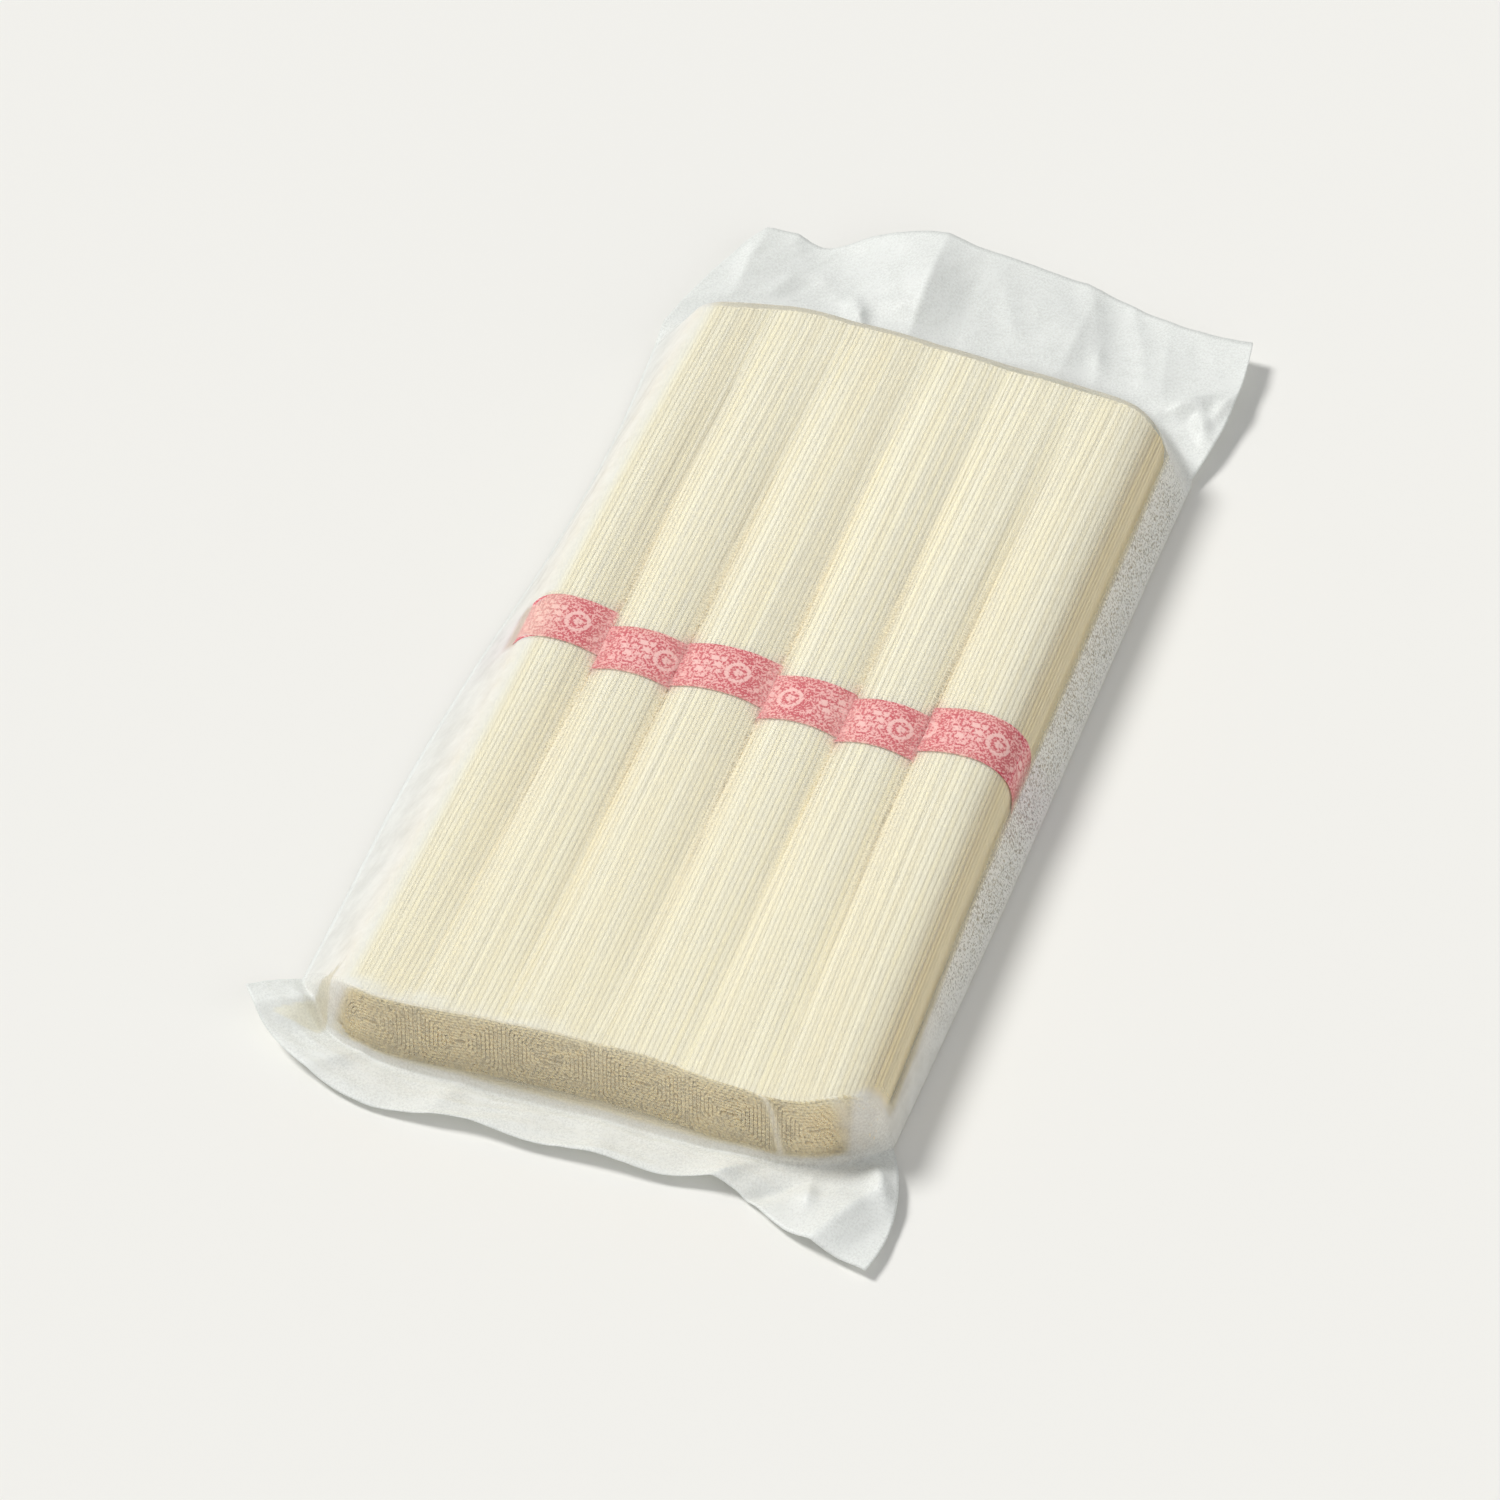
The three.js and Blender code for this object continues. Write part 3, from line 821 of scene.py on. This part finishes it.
def pleats(x, out, seed):
    """Doubled, milkier pleats in the film down the near end, most of them at its right."""
    streaks = sum(milky * np.exp(-((x - mix(top, foot, out) * MM) / (wide * MM)) ** 2)
                  for top, foot, wide, milky in PLEATS)
    loose = soft_noise(x - 2 * MM * out, out * MM, 2.6 * MM, seed) - 0.35
    return np.clip(streaks + np.clip(loose, 0, 1) * 0.8, 0, 1)


def fin_row(form, fin, across, out, seed):
    """A row of the film in a fin, where out is 0 at its root and 1 at its edge."""
    middle = form.fin(fin, across, out)
    thickness = mix(CREASE_THICKNESS, FIN_EDGE_THICKNESS, out)
    middle[:, 2] += ease(out / 0.2) * crinkle(across, out, seed + fin.side + 1)
    middle[:, 2] = np.maximum(middle[:, 2], thickness)
    top, bottom = middle.copy(), middle.copy()
    top[:, 2] += thickness / 2
    bottom[:, 2] -= thickness / 2
    return top, bottom, np.ones_like(across), np.full_like(across, PLAIN_GRAIN), 0 * across


def slope_row(form, fin, across, out, seed):
    """A row of the film over an end, where out is 0 at the noodles' top edge and 1 at the fin."""
    top = form.slope(fin, across, out)
    bottom = top.copy()
    bottom[:, 2] = form.underside(across, top[:, 0], top[:, 1])
    begins, takes = fin.turns_milky
    haze = mix(0.25, 1.0, ease((out - begins) / takes))
    if fin is NEAR_FIN:
        length = np.abs(form.root(fin, across)[:, 1] - form.end_y(fin, across))
        haze = np.maximum(haze, 0.7 * near_veil(across, length * out, seed))
        haze = np.maximum(haze, 0.7 * pleats(top[:, 0], out, seed))
    haze = np.maximum(haze, corner_veil(across, mix(0.18, 0.11, out)))
    return top, bottom, haze, np.full_like(across, PLAIN_GRAIN), 0 * across


def body_row(form, across, share, seed):
    """A row of the film from crease to crease, a share of the way from the near end to the far."""
    near_end = form.end_y(NEAR_FIN, across)
    y = mix(near_end, form.end_y(FAR_FIN, across), share)
    x = form.x_at(across, y)
    top = np.stack([x, y, form.film_over_noodles(x, y)], axis=-1)
    bottom = top.copy()
    bottom[:, 2] = form.underside(across, x, y)

    left_flank, right_flank = form.flank(-1, y), form.flank(1, y)
    valley, paper = form.valley(x, y), form.paper(x, y)
    band_end = paper * ease(1 + (x - left_flank) / (2.5 * MM))
    free_left = ease((left_flank + 11.5 * MM - x) / (10 * MM)) * (1 - 0.5 * band_end)
    free_right = ease((x - right_flank - 0.2 * MM) / (1.2 * MM))
    on_top = ease((right_flank - 0.5 * MM - x) / (4 * MM))
    resting = mix(0.3, 0.44, ease(-y / (60 * MM)))
    veil = 0.7 * near_veil(across, near_end - y, seed)
    towards_end = ease((near_end - y + 5 * MM) / (5 * MM))
    haze = np.maximum.reduce([
        mix(0.02, resting * (1 - paper * (1 - valley)), on_top),
        valley * (0.5 - 0.2 * paper),
        free_left,
        free_right,
        veil,
        towards_end * corner_veil(across, 0.18),
    ])

    by_the_bands = ease(1.4 - np.abs(y) / (50 * MM))
    grain = np.maximum(free_right, 0.6 * valley * by_the_bands) * (1 - free_left) * (1 - veil)
    grain = grain * ease((1 - across) / 0.008) * ease(1.8 + y / (40 * MM))
    beside_paper = form.paper(x, y, 4 * MM)
    # Painted light: pink in the film's milk in the valleys beside the bands and left of the first
    # band, for the light that the paper sends into it.
    paper_light = np.maximum(0.8 * valley * beside_paper, 0.4 * free_left * band_end)
    return top, bottom, haze, grain, paper_light


def film_sheets(form, seed):
    """The upper and lower film as grids of points from the left crease to the right.

    Each point has its haze, from 0 where the film lies on the noodles to 1 where it is free, its
    grain, from 0 where it is smooth to 1 where it is speckled, and its share of painted pink light
    from the paper behind it.
    """
    across = np.linspace(0, 1, FILM_COLUMNS)

    def end_rows(fin):
        """From the noodles out to the edge of a fin."""
        parts = ((slope_row, SLOPE_ROWS), (fin_row, FIN_ROWS))
        return [row(form, fin, across, np.full_like(across, out), seed)
                for row, count in parts for out in np.linspace(0, 1, count)[1:]]

    body = [body_row(form, across, share, seed) for share in np.linspace(0, 1, BODY_ROWS)]
    rows = end_rows(NEAR_FIN)[::-1] + body + end_rows(FAR_FIN)
    upper, lower, haze, grain, paper_light = (np.array(values) for values in zip(*rows))
    haze = haze * (1 - 0.4 * gusset(upper[..., 0], upper[..., 1]))
    return upper, lower, haze, grain, paper_light


def make_film(form, sizes, looks):
    upper, lower, *values_by_row = film_sheets(form, sizes.seed)
    ring = np.concatenate([upper, lower[:, ::-1]], axis=1)
    faces = flat_tube_faces(len(ring), FILM_COLUMNS)
    film = new_piece("film", ring.reshape(-1, 3), faces)
    for name, values in zip(("haze", "grain", "paper_light"), values_by_row):
        point_values(film, name, np.concatenate([values, values[:, ::-1]], axis=1).ravel())
    film.data.materials.append(film_finish(looks))


# A bundle's outlines are worked out at even places along Y, and its strands follow them.
TABLE_REACH = 1.12  # as a share of half of the noodles' length
TABLE_ROWS = 57
OUTLINE_STEPS = 256

RING_STEP = 0.86  # from a ring of strands to the next one in, as a share of the strand width
RING_DETAIL = ((8, 48), (6, 26), (6, 10))  # sides of a strand and places along it, ring by ring


def wander(random, count, places, half_length, waves):
    """Smooth random lines between about -1 and 1, one for each strand, at places along Y."""
    total = np.zeros((count, places.shape[-1]))
    for wave in waves:
        phase = random.uniform(0, 2 * math.pi, (count, 1))
        length = random.uniform(0.7, 1.4, (count, 1)) * wave
        total += np.sin(2 * math.pi * places * half_length / length + phase)
    return total / len(waves)


def strand_ends(form, place_at, count, width, random):
    """How far each strand reaches to the near and to the far end, inside the film."""
    reach = np.linspace(0.8, 1.2, 80)[None, :] * form.half_length
    ends = []
    for fin in (NEAR_FIN, FAR_FIN):
        y = fin.side * reach + np.zeros((count, 1))
        x, z = place_at(y)
        further_out = y + fin.side * 0.7 * width
        blocked = form.film_height(x, further_out) - z < width / 2 + 0.1 * MM
        first = np.where(blocked.any(axis=1), blocked.argmax(axis=1), reach.shape[1] - 1)
        across = form.across_at(x[:, 0], y[:, 0])
        flush = np.abs(form.end_y(fin, np.clip(across, 0.10, 0.93))) - 0.3 * MM
        uneven = random.gamma(1.6, 0.05, count) * MM
        ends.append(fin.side * (np.minimum(reach[0, first], flush) - uneven))
    return ends


def on_outlines(form, tables, y, around):
    """X and Z at places along Y and at shares of the way round."""
    row = np.clip((y / form.half_length + TABLE_REACH) / (2 * TABLE_REACH), 0, 1) * (TABLE_ROWS - 1)
    column = (around % 1) * OUTLINE_STEPS
    r = np.minimum(row.astype(int), TABLE_ROWS - 2)
    c = np.minimum(column.astype(int), OUTLINE_STEPS - 1)
    u, v = row - r, column - c
    return [mix(mix(table[r, c], table[r, c + 1], v), mix(table[r + 1, c], table[r + 1, c + 1], v), u)
            for table in tables]


def strand_ring(form, sizes, index, ring, random):
    """Points, tones and painted shade of a ring of strands, by strand, place along it and place round
    it.
    """
    width, half_length = sizes.strand_width, form.half_length
    table_y = np.linspace(-TABLE_REACH, TABLE_REACH, TABLE_ROWS) * half_length
    inset = (0.5 + RING_STEP * ring) * width
    *tables, lengths = form.outline(index, table_y, inset, OUTLINE_STEPS + 1)
    count = max(3, int(np.interp(0, table_y, lengths) / width))
    sides, steps = RING_DETAIL[min(ring, len(RING_DETAIL) - 1)]
    spot = (np.arange(count) + 0.5 * (ring % 2) + random.uniform(-0.12, 0.12, count)) / count
    thick = width * random.uniform(0.96, 1.02, count)

    def straight(y):
        return on_outlines(form, tables, y, spot[:, None] + 0 * y)

    near, far = strand_ends(form, straight, count, width, random)
    share = np.concatenate([[0], np.linspace(0.0005, 0.9995, steps - 2), [1]])
    y = mix(near[:, None], far[:, None], share)
    places = np.linspace(-1, 1, steps)[None, :]
    sway = wander(random, count, places, half_length, (0.16, 0.07))
    group = 0.6 * np.sin(6 * math.pi * spot[:, None] + 2.2 * places + ring)
    around = spot[:, None] + (0.13 * sway + 0.4 * group) / count
    sunk = np.where(random.random(count) < 0.1, 0.05, 0.01)[:, None]
    sunk = sunk * (1 + 0.8 * wander(random, count, places, half_length, (0.12, 0.05)))

    beside = 0.25 / count
    ahead, behind = (np.stack(on_outlines(form, tables, y, around + side * beside), axis=-1)
                     for side in (1, -1))
    tangent = ahead - behind
    tangent /= np.maximum(np.linalg.norm(tangent, axis=-1, keepdims=True), 1e-9)
    inward = np.stack([tangent[..., 1], -tangent[..., 0]], axis=-1)
    x, z = on_outlines(form, tables, y, around)
    x, z = x + inward[..., 0] * sunk * width, z + inward[..., 1] * sunk * width
    angle = np.linspace(0, 2 * math.pi, sides, endpoint=False) + math.pi / sides
    wide = STRAND_SPREAD / 2 * thick[:, None, None] * np.cos(angle)
    high = STRAND_HEIGHT / 2 * thick[:, None, None] * np.sin(angle)
    tube = np.stack([
        x[..., None] + wide * tangent[..., :1] + high * inward[..., :1],
        np.repeat(y[..., None], sides, axis=-1),
        z[..., None] + wide * tangent[..., 1:] + high * inward[..., 1:],
    ], axis=-1)

    # Painted shade: 1 low on the sides and at the cut ends, falling to 0 near the top so the valley
    # bottoms get some. It turns the strands tan where they lie in shade.
    down = 1 - ease((z / form.noodle_span(y)[1] - 0.77) / 0.2)
    down[:, [0, -1]] = 1
    tone = np.stack([np.repeat(random.random((count, 1)), steps, 1), down], axis=-1)
    return tube, np.repeat(tone[:, :, None], sides, axis=2)


def bundle_mesh(form, sizes, index):
    """Points, faces and tones of all strands of a bundle, laid in rings from its surface in.

    A tone is a strand's own share of the deeper colour, and the painted shade of a point: how far it
    is down the side or into a valley, and 1 at a cut end.
    """
    random = np.random.default_rng([sizes.seed, index])
    width = sizes.strand_width
    smallest = min(BUNDLE_WIDTHS[index], sizes.height_at_ends - 1 * MM) / 2
    points, faces, tones, start = [], [], [], 0
    for ring in range(int((smallest - 0.3 * width) / (RING_STEP * width)) + 1):
        tube, tone = strand_ring(form, sizes, index, ring, random)
        points.append(tube.reshape(-1, 3))
        tones.append(tone.reshape(-1, 2))
        count, steps, sides, _ = tube.shape
        for first in range(start, start + count * steps * sides, steps * sides):
            faces += tube_faces(steps, sides, first)
            faces.append(list(range(first, first + sides))[::-1])
            last = first + (steps - 1) * sides
            faces.append(list(range(last, last + sides)))
        start += count * steps * sides
    return np.concatenate(points), faces, np.concatenate(tones)


def make_bundles(form, sizes, looks):
    finish = noodle_finish(looks)
    for index in range(len(BUNDLE_WIDTHS)):
        points, faces, tones = bundle_mesh(form, sizes, index)
        bundle = new_piece(f"bundle_{index + 1}", points, faces)
        bundle.data.set_sharp_from_angle(angle=math.radians(50))
        point_values(bundle, "tone", tones[:, 0])
        # The painted shade of each point.
        point_values(bundle, "down", tones[:, 1])
        bundle.data.materials.append(finish)


BAND_STEPS_AROUND = 220
BAND_STEPS_WIDE = 16
PAPER_THICKNESS = 0.1 * MM
BAND_OVERLAP = 0.16  # share of the way round
PRINT_STARTS = np.array([1.0, -1.5, 1.5, 7.4, 0.5, -1.0]) * MM  # along the way round


def band_mesh(form, sizes, index):
    """A strip of paper once round a bundle, with its glued overlap underneath."""
    wide = np.linspace(-0.5, 0.5, BAND_STEPS_WIDE)
    y = BAND_PLACES[index] + wide * sizes.band_width
    xs, zs, lengths = form.outline(index, y, -0.02 * MM, 513)
    travel = np.linspace(0.5, 1.5 + BAND_OVERLAP, BAND_STEPS_AROUND)
    column = (travel % 1) * 512
    low = np.minimum(column.astype(int), 511)
    x = mix(xs[:, low], xs[:, low + 1], column - low)
    z = mix(zs[:, low], zs[:, low + 1], column - low)
    tangent = np.stack([np.gradient(x, axis=1), np.gradient(z, axis=1)], axis=-1)
    tangent /= np.linalg.norm(tangent, axis=-1, keepdims=True)
    normal = np.stack([-tangent[..., 1], tangent[..., 0]], axis=-1)
    outside = ease((travel - 1.42) / 0.06) * 1.2 * PAPER_THICKNESS
    lifted = 0.12 * MM * np.abs(2 * wide[:, None]) ** 6
    layers = []
    for lift in (0, PAPER_THICKNESS):
        offset = outside + lifted + lift
        layer = np.stack([x + normal[..., 0] * offset, np.repeat(y[:, None], len(travel), 1),
                          z + normal[..., 1] * offset], axis=-1)
        layers.append(layer)
    ring = np.concatenate([layers[1], layers[0][::-1]], axis=0).transpose(1, 0, 2)
    faces = flat_tube_faces(BAND_STEPS_AROUND, BAND_STEPS_WIDE)
    around = (travel[:, None] - 1) * lengths.mean() + PRINT_STARTS[index]
    along = np.concatenate([wide, wide[::-1]])[None, :] * sizes.band_width
    print_places = np.stack(np.broadcast_arrays(around, along), axis=-1)
    return ring.reshape(-1, 3), faces, print_places.reshape(-1, 2)


def make_bands(form, sizes, looks):
    finish = paper_finish(looks)
    for index in range(len(BUNDLE_WIDTHS)):
        points, faces, print_places = band_mesh(form, sizes, index)
        band = new_piece(f"band_{index + 1}", points, faces)
        layer = band.data.uv_layers.new(name="around")
        corners = np.empty(len(band.data.loops), np.int32)
        band.data.loops.foreach_get("vertex_index", corners)
        layer.data.foreach_set("uv", print_places[corners].astype(np.float32).ravel())
        band.data.set_sharp_from_angle(angle=math.radians(50))
        band.data.materials.append(finish)


def looking_at(name, data, target, azimuth, elevation, distance=1.0):
    """An object that looks at a point, from an azimuth, turned from +X towards +Y, and elevation."""
    level = math.cos(elevation)
    back = Vector((level * math.cos(azimuth), level * math.sin(azimuth), math.sin(elevation)))
    thing = bpy.data.objects.new(name, data)
    thing.location = target + back * distance
    thing.rotation_mode = "QUATERNION"
    thing.rotation_quaternion = (-back).to_track_quat("-Z", "Y")
    bpy.context.scene.collection.objects.link(thing)
    return thing


def add_light(name, strength, size, azimuth, elevation):
    light = bpy.data.lights.new(name, "SUN")
    light.energy = strength
    light.angle = size
    light.color = (1.0, 0.99, 0.975)
    looking_at(name, light, Vector(), azimuth, elevation)


def make_stage(settings):
    scene = bpy.context.scene
    scene.view_settings.view_transform = "Standard"
    mesh = bpy.data.meshes.new("table")
    half, below = 3.0, -0.0001
    corners = [(-half, -half, below), (half, -half, below), (half, half, below), (-half, half, below)]
    mesh.from_pydata(corners, [], [(0, 1, 2, 3)])
    table = bpy.data.objects.new("table", mesh)
    scene.collection.objects.link(table)
    f = Finish("pale_table")
    surface = f.add("BsdfDiffuse", {"Color": colour(settings.floor)})
    mesh.materials.append(f.finish(surface.outputs[0]))

    world = bpy.data.worlds.new("soft_room")
    world.use_nodes = True
    background = world.node_tree.nodes["Background"]
    background.inputs["Color"].default_value = (0.985, 0.99, 1.0, 1.0)
    background.inputs["Strength"].default_value = settings.fill
    scene.world = world

    add_light("window", settings.sun_strength, settings.sun_size,
              math.pi - settings.sun_azimuth, settings.sun_elevation)
    add_light("reflector", settings.side_strength, math.radians(80),
              math.radians(-36), math.radians(15))

    data = bpy.data.cameras.new("camera")
    data.sensor_width = 36
    data.lens = settings.lens
    data.clip_start, data.clip_end = 0.01, 20
    target = MIDDLE_OF_NOODLES + Vector((-2.185 * MM, -0.418 * MM, 0))
    near_side = -math.pi / 2
    scene.camera = looking_at("camera", data, target, near_side + settings.azimuth,
                              settings.elevation, settings.distance)


# Operators and panel.


def pack_settings(context):
    """The form of the pack, its sizes and its looks, as the makers take them."""
    sizes = context.scene.noodle_pack_sizes
    return PackForm(sizes), sizes, context.scene.noodle_pack_looks


class NOODLEPACK_OT_film(Operator):
    """Makes the sealed see-through film with its two end fins"""

    bl_idname = "noodle_pack.film"
    bl_label = "Film"

    def execute(self, context):
        make_film(*pack_settings(context))
        return {"FINISHED"}


class NOODLEPACK_OT_bundles(Operator):
    """Makes the six bundles of separate strands"""

    bl_idname = "noodle_pack.bundles"
    bl_label = "Bundles"

    def execute(self, context):
        make_bundles(*pack_settings(context))
        return {"FINISHED"}


class NOODLEPACK_OT_bands(Operator):
    """Makes the paper band round each bundle"""

    bl_idname = "noodle_pack.bands"
    bl_label = "Bands"

    def execute(self, context):
        make_bands(*pack_settings(context))
        return {"FINISHED"}


class NOODLEPACK_OT_stage(Operator):
    """Makes the table, the light and the camera"""

    bl_idname = "noodle_pack.stage"
    bl_label = "Stage"

    def execute(self, context):
        make_stage(context.scene.noodle_pack_stage)
        return {"FINISHED"}


class NOODLEPACK_PT_panel(Panel):
    """Sizes, finishes and makers of the noodle pack"""

    bl_idname = "NOODLEPACK_PT_panel"
    bl_label = "Noodle Pack"
    bl_space_type = "VIEW_3D"
    bl_region_type = "UI"
    bl_category = "Noodle Pack"

    def draw(self, context):
        scene = context.scene
        for group in (scene.noodle_pack_sizes, scene.noodle_pack_looks, scene.noodle_pack_stage):
            box = self.layout.box()
            for name in group.__annotations__:
                box.prop(group, name)
        for operator in OPERATORS:
            self.layout.operator(operator.bl_idname)


OPERATORS = (NOODLEPACK_OT_film, NOODLEPACK_OT_bundles, NOODLEPACK_OT_bands, NOODLEPACK_OT_stage)
CLASSES = (NoodlePackSizes, NoodlePackLooks, NoodlePackStage, *OPERATORS, NOODLEPACK_PT_panel)


def register():
    for cls in CLASSES:
        bpy.utils.register_class(cls)
    bpy.types.Scene.noodle_pack_sizes = PointerProperty(type=NoodlePackSizes)
    bpy.types.Scene.noodle_pack_looks = PointerProperty(type=NoodlePackLooks)
    bpy.types.Scene.noodle_pack_stage = PointerProperty(type=NoodlePackStage)


def unregister():
    del bpy.types.Scene.noodle_pack_stage
    del bpy.types.Scene.noodle_pack_looks
    del bpy.types.Scene.noodle_pack_sizes
    for cls in reversed(CLASSES):
        bpy.utils.unregister_class(cls)


def main():
    register()
    bpy.ops.noodle_pack.film()
    bpy.ops.noodle_pack.bundles()
    bpy.ops.noodle_pack.bands()
    bpy.ops.noodle_pack.stage()


if __name__ == "__main__":
    main()
